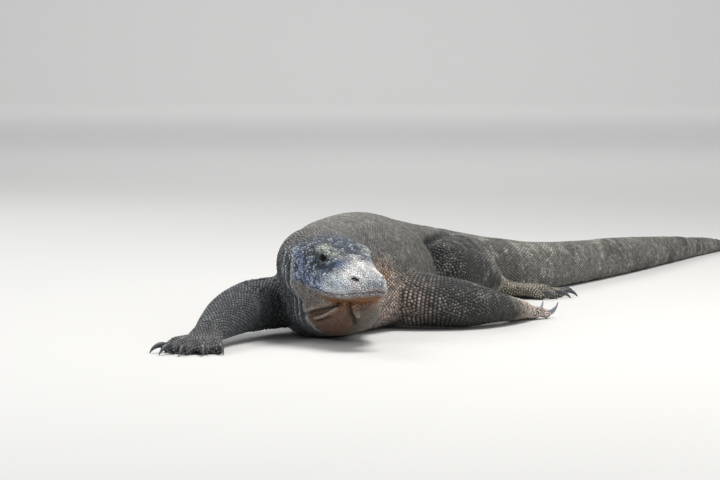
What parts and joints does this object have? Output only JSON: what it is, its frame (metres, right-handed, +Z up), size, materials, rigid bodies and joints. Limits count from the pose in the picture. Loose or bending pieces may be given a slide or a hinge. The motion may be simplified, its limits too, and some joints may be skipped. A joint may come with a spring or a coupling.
{
  "type": "komodo dragon",
  "caption": "Life-size Komodo dragon lying on its belly with its head turned, legs spread and long tail laid out behind; a still animal model.",
  "frame": {"origin": "on the floor under the middle of the trunk, on the belly's flat", "axes": "+Z up, the head faces -Y and the tail runs towards +Y, +X is the animal's left"},
  "size_m": [1.0681, 2.3374, 0.1721],
  "materials": {
    "skin_body": "matte, beaded with small scales",
    "skin_head": "matte, finely scaled",
    "skin_throat": "matte, loose folded skin",
    "claw_horn": "satin horn",
    "eye": "wet gloss"
  },
  "bodies": {
    "root": {"claw_foot_left_1": "claw_horn", "claw_foot_left_2": "claw_horn", "claw_foot_left_3": "claw_horn", "claw_foot_left_4": "claw_horn", "claw_foot_left_5": "claw_horn", "claw_foot_right_1": "claw_horn", "claw_foot_right_2": "claw_horn", "claw_foot_right_3": "claw_horn", "claw_foot_right_4": "claw_horn", "claw_foot_right_5": "claw_horn", "claw_hand_left_1": "claw_horn", "claw_hand_left_2": "claw_horn", "claw_hand_left_3": "claw_horn", "claw_hand_left_4": "claw_horn", "claw_hand_left_5": "claw_horn", "claw_hand_right_1": "claw_horn", "claw_hand_right_2": "claw_horn", "claw_hand_right_3": "claw_horn", "claw_hand_right_4": "claw_horn", "claw_hand_right_5": "claw_horn", "eye_left": "eye", "eye_right": "eye", "foot_left": "skin_body", "foot_right": "skin_body", "forearm_left": "skin_body", "forearm_right": "skin_body", "hand_left": "skin_body", "hand_right": "skin_body", "head": "skin_head", "lower_jaw": "skin_throat", "neck": "skin_body", "shin_left": "skin_body", "shin_right": "skin_body", "tail_end": "skin_body", "tail_front": "skin_body", "tail_middle": "skin_body", "tail_root": "skin_body", "thigh_left": "skin_body", "thigh_right": "skin_body", "trunk": "skin_body", "upper_arm_left": "skin_body", "upper_arm_right": "skin_body"}
  },
  "joints": []
}
